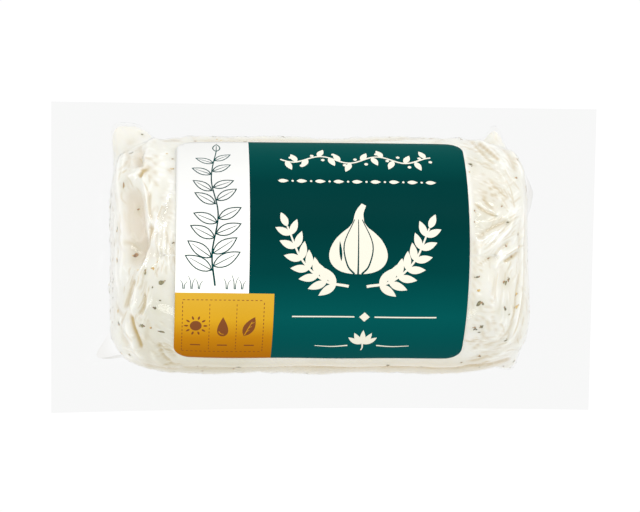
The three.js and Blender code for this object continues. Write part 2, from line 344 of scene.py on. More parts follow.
fold([(478, 224), (490, 218), (503, 210)], 0.5, 3.0)
fold([(494.5, 270), (504, 256), (521, 245)], 0.8, 2.3, 2.8, ends=0.15)
fold([(490, 262), (500, 249), (514, 239)], -0.5, 2.4, line_shade=0.25)
fold([(503, 263), (511, 257.8), (521, 251)], -0.6, 1.8, line_shade=0.65)
fold([(500, 266), (496, 288), (491, 312), (487, 336)], 0.35, 1.5, ends=0.1)
fold([(496.5, 272), (492.5, 296), (488, 318)], -0.3, 1.5, line_shade=0.22)
fold([(505, 272), (502, 296), (497, 320)], -0.2, 1.6, line_shade=0.15)
fold([(524, 198), (523, 245), (522, 282), (519, 312), (511, 342)], 0.4, 1.5, ends=0.08)
fold([(526.5, 210), (525.5, 250), (524, 290), (520, 325)], -0.35, 1.4, line_shade=0.3, ends=0.1)
fold([(520.5, 214), (519.5, 250), (518.5, 286), (515, 316)], -0.28, 1.4, line_shade=0.22, ends=0.1)
fold([(500, 351), (513, 338.5), (520, 320)], 0.45, 1.7)
fold([(496, 346), (508, 334), (515, 318)], -0.35, 1.6, line_shade=0.35)
fold([(492, 342), (502, 331), (508, 316)], 0.25, 1.5)
fold([(462, 367.2), (480, 367.4), (497, 364.4), (513, 359)], -0.6, 1.9, line_shade=0.95, ends=0.1)
fold([(466, 361.5), (478, 361), (491, 356.5)], -0.4, 1.7, line_shade=0.6)
fold([(484, 362), (497, 358.5), (509, 351)], 0.4, 1.8)
fold([(471, 352), (479, 346), (485, 338)], -0.4, 2.4, line_shade=0.4)
# Painted shadow: a tan line beside the right edge of the label.
fold([(473.8, 232), (475.2, 252), (474.6, 276), (473, 300), (470, 322)], -0.10, 2.0, line_shade=0.26, ends=0.15)
fold([(478.5, 236), (480, 254), (476, 268)], 0.3, 1.7)
fold([(476, 246), (477.5, 262), (474.5, 274)], -0.12, 1.8, line_shade=0.22)
# Thin wrinkles of the tight web: tan lines of painted shade, and bright lines of painted highlight beside them.
for pts, h, line_shade in (
    ([(127.7, 150), (125, 164), (124, 176)], 0.14, 0.0),
    ([(138.4, 147.4), (144.6, 156.3), (146.4, 167.8)], 0.16, 0.0),
    ([(136.6, 153.6), (140.5, 161), (143.7, 169.6)], -0.14, 0.6),
    ([(133, 217.7), (139, 227), (145.5, 239)], 0.22, 0.0),
    ([(134.8, 223), (139, 231), (143.7, 240)], -0.18, 0.55),
    ([(163.3, 203.4), (160.5, 212), (158, 221)], -0.16, 0.6),
    ([(153.5, 224.8), (150, 240.8), (146.4, 249.7)], -0.2, 0.75),
    ([(134, 278), (130.4, 296), (128.2, 312)], -0.16, 0.7),
    ([(140.2, 278), (136.6, 296), (134.8, 310)], 0.18, 0.0),
    ([(156.2, 342), (165, 351), (177.6, 354.7)], -0.18, 0.7),
    ([(161.5, 344), (168, 347), (174, 349.4)], -0.12, 0.5),
    ([(161.5, 367), (174, 365.4), (184.7, 366.3)], -0.2, 0.9),
    ([(151, 157), (150, 172), (150.5, 186)], -0.12, 0.4),
    ([(158, 150), (155.5, 168), (156, 190)], -0.1, 0.3),
    ([(165, 146), (163, 160), (164, 178)], 0.1, 0.0),
    ([(462.7, 133), (475, 137.6), (487.6, 148.3), (500, 162.5), (509, 175)], 0.2, 0.0),
    ([(469.8, 131.8), (485.8, 137.6), (501.8, 155.4), (512.5, 173)], 0.2, 0.0),
    ([(473.4, 144.7), (485.8, 156.3), (496.5, 164.3)], -0.16, 0.6),
    ([(488.5, 179.4), (492, 189), (494.7, 201.7)], -0.14, 0.6),
    ([(490.3, 178.5), (496.5, 185.6), (505.4, 194.5), (510.7, 198)], -0.16, 0.65),
    ([(494.7, 183.9), (496, 190), (496.5, 196.3)], -0.12, 0.5),
    ([(480.5, 187.4), (485.8, 191), (489.4, 187.4)], -0.12, 0.5),
    ([(482.3, 191), (486.7, 201.7), (494.7, 207.9)], -0.16, 0.7),
    ([(474.3, 201.7), (482.3, 207), (493, 214), (498.3, 215)], -0.18, 0.7),
    ([(499.2, 269.3), (495.6, 288.9), (494.7, 303)], -0.14, 0.4),
    ([(520.5, 265.7), (517.9, 288.9), (515.2, 312), (509, 329.8)], -0.16, 0.5),
    ([(523.2, 269), (522.3, 296), (519.6, 319), (511, 342)], -0.14, 0.45),
    ([(468, 365.4), (472, 366.2), (476, 365.4)], -0.16, 1.0),
    ([(481, 364.6), (485, 364), (488.6, 362.4)], -0.16, 0.9),
    ([(484, 369), (498, 364.5), (512.5, 360)], -0.18, 0.9),
    ([(462.7, 339), (470, 342.5), (478, 337)], -0.14, 0.5),
    ([(470, 346), (476, 341), (480, 340)], -0.12, 0.5),
    ([(500, 322), (504, 330), (500, 340)], -0.1, 0.35),
    ([(486, 318), (489, 332), (486, 346)], -0.1, 0.35),
    ([(512, 205), (508, 214), (500, 219)], 0.16, 0.0),
    ([(476, 231), (486, 223), (497, 218)], 0.16, 0.0),
    ([(505, 176), (512, 190), (515, 206)], -0.12, 0.35),
    ([(499, 170), (508, 182), (513, 196)], 0.14, 0.0),
):
    fold(pts, h, 1.0, line_shade=line_shade, ends=0.18)
# Hair-fine wrinkles that follow the draw of the web at the two ends, the low ones with painted tan shade, the raised
# ones with a painted highlight.
draw = np.random.default_rng(77)


def hair(count, x0, y0, x1, y1, way, thick=1.0):
    for _ in range(count):
        x, y = draw.uniform(x0, x1), draw.uniform(y0, y1)
        a = way(x, y) + draw.normal(0, 0.14)
        n = draw.uniform(4, 11)
        bend = draw.normal(0, 0.16)
        pts = [
            (x - math.cos(a - bend) * n, y - math.sin(a - bend) * n),
            (x, y),
            (x + math.cos(a + bend) * n, y + math.sin(a + bend) * n),
        ]
        low = draw.random() < 0.6
        fold(pts, draw.uniform(0.03, 0.10) * (-1 if low else 1), draw.uniform(0.65, 1.0) * thick, line_shade=draw.uniform(0.14, 0.46) if low else 0.0, ends=0.3)


def over_shoulder(cx, cy):
    return lambda x, y: math.atan2(x - cx, -(y - cy))


hair(64, 462, 134, 520, 166, over_shoulder(452, 196))
hair(30, 476, 164, 518, 216, lambda x, y: 0.85)
hair(24, 476, 164, 518, 216, lambda x, y: -0.55)
hair(50, 476, 214, 520, 266, lambda x, y: -0.68)
hair(66, 476, 264, 524, 342, lambda x, y: 1.66)
hair(56, 470, 338, 514, 372, lambda x, y: -0.30)
hair(48, 116, 138, 152, 178, over_shoulder(166, 190))
hair(24, 150, 144, 174, 226, lambda x, y: 1.78, 1.9)
hair(30, 154, 224, 174, 272, lambda x, y: 1.58, 1.3)
hair(34, 120, 178, 148, 270, lambda x, y: 1.25)
hair(46, 120, 270, 150, 322, lambda x, y: 1.80)
hair(62, 122, 318, 178, 372, lambda x, y: 0.75)
hair(22, 112, 180, 121, 330, lambda x, y: 1.57)
# Long edges, with painted tan shade in the valleys and a painted highlight on the raised fold.
fold([(170, 369), (230, 370.2), (300, 368.6), (370, 370.0), (440, 368.8), (500, 366.5)], -0.42, 1.8, line_shade=0.75, ends=0.05)
fold([(185, 364.5), (260, 365.8), (340, 364.8), (420, 365.6), (470, 364)], 0.3, 1.9, ends=0.06)
fold([(190, 139.4), (280, 138.8), (360, 139.4), (430, 137.4), (470, 134.6)], -0.25, 1.4, line_shade=0.4, ends=0.06)
fold([(160, 141), (172, 139.5), (182, 140)], -0.35, 1.6, line_shade=0.5)


def around(s0, t0, length, lean, height, wide, bend, line_shade=0.0):
    """A wrinkle laid out round the log: centre, length, lean from straight down, in mm."""
    h = length / 2
    dx, dy = math.sin(lean), math.cos(lean)
    pts = np.array([(-dx * h + bend * dy, -dy * h), (0, 0), (dx * h + bend * dy, dy * h)])
    line = smooth(pts, 4)
    ds = (S - s0 + ROUND / 2) % ROUND - ROUND / 2
    reach = 3 * wide
    ci = np.nonzero(np.abs(ds) < abs(dx) * h + abs(bend) + reach)[0]
    ri = np.nonzero(np.abs(T - t0) < dy * h + reach)[0]
    if len(ci) == 0 or len(ri) == 0:
        return
    gs, gt = np.meshgrid(ds[ci], T[ri] - t0)
    d, place = along_line(gs, gt, line)
    taper = np.sin(math.pi * np.clip(place, 0, 1)) ** 0.7
    bell = np.exp(-((d / wide) ** 2)) * taper
    block = np.ix_(ri, ci)
    body[block] += height * bell
    # Painted tan shade along the wrinkle.
    if line_shade:
        tan_shade[block] = np.maximum(tan_shade[block], line_shade * bell)


# Fine wrinkles everywhere: draw lines down the long sides, crossing ones on the ends, the low ones with some painted
# tan shade.
end_half = ALONG[END_COLS]
for _ in range(260):
    s0 = rng.uniform(0, ROUND)
    from_end = min(abs((s0 - c + ROUND / 2) % ROUND - ROUND / 2) for c in (0, ROUND / 2))
    on_end = from_end < end_half + 3
    t0 = rng.uniform(16, 52) if on_end else rng.uniform(30, 54)
    visible = t0 < 34
    lean = rng.normal(0.0, 0.75 if on_end else 0.28)
    length = rng.uniform(4, 14) if on_end else rng.uniform(6, 20)
    height = rng.choice([-1, 1]) * rng.uniform(0.08, 0.30) * (0.55 if visible else 1.0)
    around(s0, t0, length, lean, height, rng.uniform(0.35, 0.85), rng.normal(0, 1.2), 0.4 * rng.random() if height < 0 else 0.0)
# The deeper pleats where the formed web is drawn down to the border, with some painted tan shade along them.
for i in range(74):
    s0 = (i + rng.uniform(-0.35, 0.35)) * ROUND / 74
    around(s0, rng.uniform(46, 54), rng.uniform(7, 15), rng.normal(0, 0.2), rng.choice([-1, 1]) * rng.uniform(0.15, 0.45), rng.uniform(0.5, 1.1), rng.normal(0, 0.8), 0.3 * rng.random())
# Soft unevenness of the cheese itself.
gs, gt = np.meshgrid(S, T)
for _ in range(14):
    ks = rng.integers(2, 16) * 2 * math.pi / ROUND
    kt = rng.uniform(-0.35, 0.35)
    body += 0.055 * np.sin(gs * ks + gt * kt + rng.uniform(0, 6.28))
body *= free

shaped = base + normal * body[..., None]
shaped_normal = grid_normals(shaped)

# ------------------------------------------------------------------ film: corner ears and loose spots
SKIN = 0.16
film_log = shaped.copy()
cheese_rows = shaped - shaped_normal * SKIN


loose = np.zeros((RINGS, COLS))  # where doubled loose film looks a little smoky


def fin(x, y, way, length, spread, level, rise, filled=0.0):
    """A pinch of loose film that stands out of the side of the log, near its foot."""
    edge = base[CROWN]
    c0 = int(np.argmin(np.hypot(edge[:, 0] - x, edge[:, 1] - y)))
    ds = np.abs((S - S[c0] + ROUND / 2) % ROUND - ROUND / 2)
    env = np.exp(-(((Z - level) / rise) ** 2))
    env[: CROWN // 2] = 0
    push = length * env[:, None] * np.exp(-((ds / spread) ** 2))[None, :]
    way = np.array(way, float)
    film_log[...] += push[..., None] * (way / np.linalg.norm(way))
    cheese_rows[...] += filled * push[..., None] * (way / np.linalg.norm(way))
    # A filled pinch gets a little painted tan shade and a painted highlight; loose film looks smoky instead.
    if filled:
        tan_shade[...] = np.maximum(tan_shade, 0.10 * push / length)
        painted_highlight[...] = np.maximum(painted_highlight, 0.7 * push / length)
    else:
        loose[...] = np.maximum(loose, np.clip(1.4 * push / length, 0, 1))


fin(-39.6, 20.4, (-0.42, 1, 0), 6.2, 2.6, 9.5, 4.6, 0.9)
fin(-36.3, 22.0, (0.05, 1, 0), 3.4, 2.3, 10.0, 5.0, 0.9)
fin(31.7, 21.4, (0.02, 1, 0.05), 4.9, 2.3, 9.5, 3.3, 0.8)
fin(36.6, 12.0, (1, 0.1, 0), 1.5, 4.0, 12.0, 6.0)
fin(-40.0, -20.4, (-0.78, -0.46, -0.12), 6.6, 3.0, 3.2, 3.0)
fin(33.6, -18.6, (0.3, -1, 0), 3.0, 3.0, 10.0, 6.0, 0.92)

# ------------------------------------------------------------------ border
BORDER_LEFT, BORDER_RIGHT_BACK, BORDER_RIGHT_FRONT = -53.3, 53.3, 51.7
BORDER_BACK_LEFT, BORDER_BACK_RIGHT, BORDER_FRONT, BORDER_BOW = 30.05, 29.1, -30.05, 0.6


def cut_edge():
    e = np.zeros((COLS, 2))
    for i in range(COLS):
        k, sx, sy = K[i], SX[i], SY[i]
        if k <= END_COLS:
            f = k / END_COLS
            y = f * ((BORDER_BACK_RIGHT if sx > 0 else BORDER_BACK_LEFT) if sy > 0 else BORDER_FRONT)
            t = (y - BORDER_FRONT) / (BORDER_BACK_RIGHT - BORDER_FRONT)
            x = BORDER_RIGHT_FRONT + (BORDER_RIGHT_BACK - BORDER_RIGHT_FRONT) * t if sx > 0 else BORDER_LEFT
        else:
            f = (QUARTER - k) / SIDE_COLS
            x = f * (BORDER_LEFT if sx < 0 else BORDER_RIGHT_BACK if sy > 0 else BORDER_RIGHT_FRONT)
            t = (x - BORDER_LEFT) / (BORDER_RIGHT_BACK - BORDER_LEFT)
            y = (
                BORDER_BACK_LEFT + (BORDER_BACK_RIGHT - BORDER_BACK_LEFT) * t
                if sy > 0
                else BORDER_FRONT + BORDER_BOW * max(0, 1 - (x / BORDER_RIGHT_FRONT) ** 2)
            )
        e[i] = x, y
    return e


EDGE = cut_edge()


def ripple(x, y):
    """Slight waves of the sealed border."""
    return (
        0.10 * np.sin(x * 0.11 + 1.3) * np.sin(y * 0.09 + 0.4)
        + 0.05 * np.sin(x * 0.31 + y * 0.12)
        + 0.04 * np.sin(y * 0.37 - x * 0.07 + 2.0)
    )


foot_ring = film_log[-1]
border = np.zeros((BORDER, COLS, 3))
share = (np.arange(1, BORDER + 1) / BORDER) ** 1.5
for r, f in enumerate(share):
    x = foot_ring[:, 0] + (EDGE[:, 0] - foot_ring[:, 0]) * f
    y = foot_ring[:, 1] + (EDGE[:, 1] - foot_ring[:, 1]) * f
    drop = math.exp(-f * 16.0)
    z = 0.42 + ripple(x, y) * min(1, f * 4) + (foot_ring[:, 2] - 0.42) * drop
    border[r] = np.stack([x, y, z.clip(0.2)], -1)
under = np.zeros((5, COLS, 3))
for r, f in enumerate((1.0, 0.9, 0.75, 0.45, 0.15)):
    x, y = EDGE[:, 0] * f, EDGE[:, 1] * f
    under[r] = np.stack([x, y, border[-1][:, 2] - 0.06 if r == 0 else (0.12 + 0.5 * ripple(x, y)).clip(0.03)], -1)


# ------------------------------------------------------------------ meshes
def strip(rows):
    """Faces between rows of a closed grid whose vertices start at 0."""
    i = np.arange(COLS)
    j = (i + 1) % COLS
    faces = []
    for r in range(rows - 1):
        a, b = r * COLS, (r + 1) * COLS
        faces.append(np.stack([a + i, b + i, b + j, a + j], -1))
    return np.concatenate(faces).tolist()


def top_line(first):
    """Points of the top line, shared by mirrored columns, and the index of each column's point."""
    pts, index = [], np.zeros(COLS, int)
    for i in range(COLS):
        m = (COLS - i) % COLS
        if m < i:
            index[i] = index[m]
        else:
            p = 0.5 * (first[i] + first[m])
            p[0] = LOG_X + (p[0] - LOG_X) * 0.992
            p[2] += 0.003
            index[i] = len(pts)
            pts.append(p)
    return np.array(pts), index


def make_object(name, points, faces, mats, face_mats=None, shade=True):
    mesh = bpy.data.meshes.new(name)
    mesh.from_pydata((np.asarray(points) * MM).tolist(), [], faces)
    mesh.validate()
    for m in mats:
        mesh.materials.append(m)
    if face_mats is not None:
        mesh.polygons.foreach_set("material_index", np.asarray(face_mats, np.int32))
    mesh.polygons.foreach_set("use_smooth", np.full(len(mesh.polygons), shade))
    mesh.update()
    obj = bpy.data.objects.new(name, mesh)
    bpy.context.scene.collection.objects.link(obj)
    return obj


def closed_skin(name, rows, mats):
    """A closed skin from rings that run from the top line to the last ring, which is fanned shut."""
    n = len(rows)
    pts = np.concatenate([rows.reshape(-1, 3)])
    line, index = top_line(rows[0].copy())
    faces = strip(n)
    off = len(pts)
    for i in range(COLS):
        j = (i + 1) % COLS
        a, b = off + index[i], off + index[j]
        faces.append((a, i, j, b) if a != b else (a, i, j))
    pts = np.concatenate([pts, line])
    centre = len(pts)
    last = (n - 1) * COLS
    pts = np.concatenate([pts, rows[-1].mean(0)[None, :]])
    for i in range(COLS):
        faces.append((centre, last + (i + 1) % COLS, last + i))
    return make_object(name, pts, faces, mats), len(line)


# ------------------------------------------------------------------ node helpers
def new_material(name):
    m = bpy.data.materials.new(name)
    m.use_nodes = True
    nt = m.node_tree
    nt.nodes.clear()
    out = nt.nodes.new("ShaderNodeOutputMaterial")
    return m, nt, out


def node(nt, kind, **values):
    n = nt.nodes.new(kind)
    for k, v in values.items():
        if k in ("operation", "blend_type", "data_type", "attribute_name", "feature", "noise_dimensions", "attribute_type", "wave_type", "bands_direction"):
            setattr(n, k, v)
        else:
            n.inputs[k.replace("_", " ")].default_value = v
    return n


def noise(nt, scale, detail=4.0, rough=0.55, distort=0.0, stretch=None):
    co = node(nt, "ShaderNodeTexCoord")
    n = node(nt, "ShaderNodeTexNoise", Scale=scale, Detail=detail, Roughness=rough, Distortion=distort)
    if stretch:
        mp = node(nt, "ShaderNodeMapping")
        mp.inputs["Scale"].default_value = stretch
        nt.links.new(co.outputs["Object"], mp.inputs["Vector"])
        nt.links.new(mp.outputs["Vector"], n.inputs["Vector"])
    else:
        nt.links.new(co.outputs["Object"], n.inputs["Vector"])
    return n


def ramp(nt, source, stops):
    r = node(nt, "ShaderNodeValToRGB")
    r.color_ramp.elements[0].position, r.color_ramp.elements[0].color = stops[0]
    r.color_ramp.elements[1].position, r.color_ramp.elements[1].color = stops[-1]
    for pos, c in stops[1:-1]:
        e = r.color_ramp.elements.new(pos)
        e.color = c
    nt.links.new(source, r.inputs["Fac"])
    return r


def mix(nt, fac, a, b):
    """Colour mix; a and b are sockets or plain colours."""
    m = nt.nodes.new("ShaderNodeMix")
    m.data_type = "RGBA"
    nt.links.new(fac, m.inputs["Factor"])
    for v, s in ((a, m.inputs[6]), (b, m.inputs[7])):
        if isinstance(v, tuple):
            s.default_value = v
        else:
            nt.links.new(v, s)
    return m.outputs[2]


def bump(nt, height, strength, distance, before=None):
    b = node(nt, "ShaderNodeBump", Strength=strength, Distance=distance)
    nt.links.new(height, b.inputs["Height"])
    if before:
        nt.links.new(before.outputs["Normal"], b.inputs["Normal"])
    return b


def rgb(r, g, b):
    """Linear colour of a screen colour from 0 to 255."""
    f = lambda c: c / 12.92 if c <= 0.04045 else ((c + 0.055) / 1.055) ** 2.4
    return (f(r / 255), f(g / 255), f(b / 255), 1.0)


# ------------------------------------------------------------------ materials
def film_material():
    m, nt, out = new_material("clear_film")
    sealed = node(nt, "ShaderNodeAttribute", attribute_name="sealed")
    clear = node(nt, "ShaderNodeBsdfTransparent")
    tone = mix(nt, sealed.outputs["Fac"], (0.993, 0.993, 0.991, 1), (0.957, 0.958, 0.957, 1))
    slack = node(nt, "ShaderNodeAttribute", attribute_name="loose")
    smoky = mix(nt, slack.outputs["Fac"], tone, (0.915, 0.908, 0.89, 1))
    nt.links.new(smoky, clear.inputs["Color"])
    gloss = node(nt, "ShaderNodeBsdfGlossy")
    gloss.inputs["Color"].default_value = (1, 1, 1, 1)
    # The web is thin, so it shines alike from both sides: a small share, more at a glancing angle.
    facing = node(nt, "ShaderNodeLayerWeight")
    steep = node(nt, "ShaderNodeMath", operation="POWER")
    steep.inputs[1].default_value = 5.0
    nt.links.new(facing.outputs["Facing"], steep.inputs[0])
    fres = node(nt, "ShaderNodeMath", operation="MULTIPLY_ADD")
    fres.inputs[1].default_value = 0.70
    fres.inputs[2].default_value = 0.045
    nt.links.new(steep.outputs[0], fres.inputs[0])
    fine = noise(nt, 420, 3.0, 0.5, 0.6)
    long = noise(nt, 160, 4.0, 0.6, 1.2, (1.0, 0.35, 0.35))
    b1 = bump(nt, fine.outputs["Fac"], 0.12, 0.0002)
    b2 = bump(nt, long.outputs["Fac"], 0.35, 0.0005, b1)
    rough = ramp(nt, long.outputs["Fac"], [(0.3, (0.07, 0.07, 0.07, 1)), (0.7, (0.16, 0.16, 0.16, 1))])
    nt.links.new(rough.outputs["Color"], gloss.inputs["Roughness"])
    nt.links.new(b2.outputs["Normal"], gloss.inputs["Normal"])
    # The two webs of the sealed border are pressed together and shine less than the web on the log.
    dull = ramp(nt, sealed.outputs["Fac"], [(0.0, (1, 1, 1, 1)), (1.0, (0.15, 0.15, 0.15, 1))])
    part = node(nt, "ShaderNodeMath", operation="MULTIPLY")
    nt.links.new(fres.outputs[0], part.inputs[0])
    nt.links.new(dull.outputs["Color"], part.inputs[1])
    mx = node(nt, "ShaderNodeMixShader")
    nt.links.new(part.outputs[0], mx.inputs["Fac"])
    nt.links.new(clear.outputs[0], mx.inputs[1])
    nt.links.new(gloss.outputs[0], mx.inputs[2])
    nt.links.new(mx.outputs[0], out.inputs["Surface"])
    return m


def cheese_material():
    m, nt, out = new_material("soft_cheese")
    p = node(nt, "ShaderNodeBsdfPrincipled", Roughness=0.5, IOR=1.42)
    p.inputs["Specular IOR Level"].default_value = 0.08
    p.inputs["Subsurface Weight"].default_value = 0.2
    p.inputs["Subsurface Radius"].default_value = (1.0, 0.85, 0.55)
    p.inputs["Subsurface Scale"].default_value = 0.0006
    cloud = noise(nt, 95, 4.0, 0.55, 0.4)
    grain = noise(nt, 900, 3.0, 0.6)
    cream = ramp(
        nt,
        cloud.outputs["Fac"],
        [(0.30, rgb(219, 217, 207)), (0.50, rgb(224, 223, 214)), (0.72, rgb(229, 228, 221))],
    )
    painted_shade = node(nt, "ShaderNodeAttribute", attribute_name="painted_shade")
    hollow_shade = node(nt, "ShaderNodeAttribute", attribute_name="hollow_shade")
    fleck_cloud_and_shade = node(nt, "ShaderNodeAttribute", attribute_name="fleck_cloud_and_shade")
    shine = node(nt, "ShaderNodeAttribute", attribute_name="painted_highlight")
    # Painted highlight along raised folds and the label edge.
    c0 = mix(nt, shine.outputs["Fac"], cream.outputs["Color"], rgb(243, 243, 238))
    # Painted rosy shade over the hollow at the left end.
    c1 = mix(nt, hollow_shade.outputs["Fac"], c0, rgb(220, 206, 193))
    # Painted tan shade in fold valleys and along the front edge.
    c2 = mix(nt, painted_shade.outputs["Fac"], c1, rgb(181, 157, 102))
    # Grey-green clouds round the flecks, with painted shade at the left foot.
    c3 = mix(nt, fleck_cloud_and_shade.outputs["Fac"], c2, rgb(182, 178, 148))
    nt.links.new(c3, p.inputs["Base Color"])
    b1 = bump(nt, grain.outputs["Fac"], 0.25, 0.0002)
    b2 = bump(nt, cloud.outputs["Fac"], 0.3, 0.0012, b1)
    nt.links.new(b2.outputs["Normal"], p.inputs["Normal"])
    nt.links.new(p.outputs[0], out.inputs["Surface"])
    return m


def herb_material(name, dark, light):
    m, nt, out = new_material(name)
    p = node(nt, "ShaderNodeBsdfPrincipled", Roughness=0.6)
    n = noise(nt, 1500, 3.0, 0.6)
    r = ramp(nt, n.outputs["Fac"], [(0.35, dark), (0.65, light)])
    nt.links.new(r.outputs["Color"], p.inputs["Base Color"])
    b = bump(nt, n.outputs["Fac"], 0.4, 0.0002)
    nt.links.new(b.outputs["Normal"], p.inputs["Normal"])
    nt.links.new(p.outputs[0], out.inputs["Surface"])
    return m


def print_material(name, stops, axis_from, axis_to, rough=0.38):
    """Printed stock whose colour ramps from the front edge of the label to its back edge (by height round the log); on
    the white, teal and gold the ramp carries painted light and shade.
    """
    m, nt, out = new_material(name)
    p = node(nt, "ShaderNodeBsdfPrincipled", Roughness=rough)
    p.inputs["Specular IOR Level"].default_value = 0.01
    co = node(nt, "ShaderNodeTexCoord")
    sep = node(nt, "ShaderNodeSeparateXYZ")
    nt.links.new(co.outputs["Object"], sep.inputs[0])
    mr = node(nt, "ShaderNodeMapRange")
    mr.inputs["From Min"].default_value = axis_from * MM
    mr.inputs["From Max"].default_value = axis_to * MM
    nt.links.new(sep.outputs["Y"], mr.inputs["Value"])
    r = ramp(nt, mr.outputs["Result"], stops)
    n = noise(nt, 700, 3.0, 0.6)
    n2 = noise(nt, 60, 3.0, 0.5)
    dirt = ramp(nt, n2.outputs["Fac"], [(0.3, (0.93, 0.93, 0.93, 1)), (0.7, (1, 1, 1, 1))])
    mul = nt.nodes.new("ShaderNodeMix")
    mul.data_type = "RGBA"
    mul.blend_type = "MULTIPLY"
    mul.inputs["Factor"].default_value = 0.6
    nt.links.new(r.outputs["Color"], mul.inputs[6])
    nt.links.new(dirt.outputs["Color"], mul.inputs[7])
    nt.links.new(mul.outputs[2], p.inputs["Base Color"])
    b = bump(nt, n.outputs["Fac"], 0.08, 0.0001)
    b2 = bump(nt, n2.outputs["Fac"], 0.12, 0.0008, b)
    nt.links.new(b2.outputs["Normal"], p.inputs["Normal"])
    nt.links.new(p.outputs[0], out.inputs["Surface"])
    return m


film_mat = film_material()
cheese_mat = cheese_material()
# The white runs darker towards the back edge of the label: painted shade round the log.
white_mat = print_material("label_white", [(0.0, rgb(253, 253, 247)), (0.38, rgb(252, 252, 245)), (0.72, rgb(232, 232, 229)), (1.0, rgb(224, 224, 222))], -20, 20)
# The teal is lighter at the front and back edges and darker in the middle: painted light and shade round the log.
teal_mat = print_material(
    "label_teal",
    [
        (0.0, rgb(0, 70, 70)),
        (0.22, rgb(0, 80, 79)),
        (0.42, rgb(0, 61, 60)),
        (0.62, rgb(0, 53, 52)),
        (0.82, rgb(0, 55, 54)),
        (1.0, rgb(0, 74, 71)),
    ],
    -19.5,
    20.5,
)
# The gold runs darker towards the front edge: partly its printed gradient, partly painted shade.
gold_mat = print_material(
    "label_gold",
    [(0.0, rgb(158, 93, 4)), (0.35, rgb(185, 123, 15)), (0.62, rgb(208, 158, 35)), (1.0, rgb(209, 165, 53))],
    -18.5,
    -6.5,
)
cream_mat = print_material("label_cream", [(0.0, rgb(226, 222, 205)), (1.0, rgb(232, 228, 214))], -20, 20)
brown_mat = print_material("label_brown", [(0.0, rgb(112, 62, 28)), (1.0, rgb(134, 80, 46))], -18.5, -6.5)
green_mat = herb_material("herb_green", rgb(84, 79, 46), rgb(142, 134, 92))
brown_herb = herb_material("herb_brown", rgb(116, 84, 54), rgb(178, 142, 100))
gold_herb = herb_material("herb_gold", rgb(190, 150, 72), rgb(216, 190, 122))

# ------------------------------------------------------------------ cheese
cheese_rows[..., 2] = cheese_rows[..., 2].clip(0.35)
foot_in = cheese_rows[-1].copy()
tuck = []
for f, z in ((0.97, 1.2), (0.92, 0.6), (0.85, 0.36), (0.5, 0.36)):
    q = foot_in.copy()
    q[:, 0] = LOG_X + (q[:, 0] - LOG_X) * f
    q[:, 1] = LOG_Y + (q[:, 1] - LOG_Y) * f
    q[:, 2] = np.minimum(q[:, 2], z)
    tuck.append(q)
cheese_all = np.concatenate([cheese_rows, np.array(tuck)])

# ------------------------------------------------------------------ herb flecks
SEEN_SPOTS = {
    "green": [
        (162, 282, 1.9, 0.3), (155, 308, 1.1, 0.6), (160, 301, 0.9, 0.2), (142, 326, 1.5, 1.2), (162, 331.6, 1.5, 0.0),
        (145, 273, 1.4, 1.4), (472, 165, 1.5, 0.8), (480, 303, 2.2, 1.1), (506, 283, 1.7, 1.5), (509, 279, 1.1, 0.4),
        (505, 308, 1.6, 2.2), (509, 314, 0.9, 0.5), (476, 329, 1.4, 0.9), (481, 327.5, 1.5, 2.6), (478, 333, 0.9, 0.2),
        (506, 340, 1.1, 0.4), (478, 277, 1.2, 0.1), (174, 242, 1.0, 0.7), (153, 287, 0.8, 1.0), (508, 222, 1.2, 0.4),
        (459, 133.5, 1.0, 0.2), (496, 216, 0.8, 0.3),
    ],
    "brown": [
        (139, 209.6, 1.5, 0.5), (136, 255, 2.1, 0.1), (124, 185, 1.5, 1.9), (111.5, 259, 1.2, 1.5), (120, 140, 1.4, 0.4),
        (516, 178, 1.2, 0.6), (506, 246, 1.1, 2.0), (511, 257, 1.2, 0.5), (519, 247, 1.4, 0.8), (481, 356, 1.0, 0.3),
        (502, 206, 0.9, 0.5), (488.5, 258, 0.9, 0.5), (474, 210, 1.0, 1.3), (518, 234, 1.2, 0.3), (463, 362, 0.9, 0.6),
        (173, 160, 0.9, 0.3), (151, 327.6, 0.9, 1.4), (475, 222, 0.8, 0.2),
    ],
    "gold": [
        (153, 268, 1.5, 0.2), (150.5, 328, 1.1, 1.3), (172, 170, 1.3, 0.9), (469, 171.5, 1.0, 0.3), (480, 290.5, 1.4, 0.1),
        (517, 307, 1.7, 1.4), (516, 294, 1.2, 0.7), (166, 154, 0.9, 0.5), (138, 270, 1.1, 1.2), (157, 262, 0.8, 0.4),
    ],
}
upper = np.zeros((RINGS, COLS), bool)
upper[: CROWN - 2] = True
flat_x, flat_y = to_picture(cheese_rows)
face_cam = ((shaped_normal * (EYE - cheese_rows)).sum(-1) > 0) & upper
spots = {k: [] for k in SEEN_SPOTS}
fleck_cloud_and_shade = np.zeros((RINGS, COLS))
for kind, places in SEEN_SPOTS.items():
    for x, y, size, turn in places:
        d = np.where(face_cam & (free > 0.15), (flat_x - x) ** 2 + (flat_y - y) ** 2, 1e9)
        r, c = np.unravel_index(np.argmin(d), d.shape)
        if d[r, c] < 36:
            spots[kind].append((r, c, size * (0.78 if kind == "gold" else 1.0), turn, kind))
# Unseen sides carry flecks of the same kinds, at the same spacing.
for _ in range(330):
    r = int(rng.integers(int(CROWN * 0.72), RINGS - 3))
    c = int(rng.integers(0, COLS))
    if r < CROWN - 4 and face_cam[r, c] and (flat_x[r, c] < 168 or flat_x[r, c] > 476) and rng.random() < 0.85:
        continue
    if free[r, c] < 0.5:
        continue
    kind = rng.choice(["green", "brown", "gold"], p=[0.48, 0.32, 0.20])
    spots[kind].append((r, c, float(rng.uniform(0.5, 1.5)), float(rng.uniform(0, 3.1)), kind))


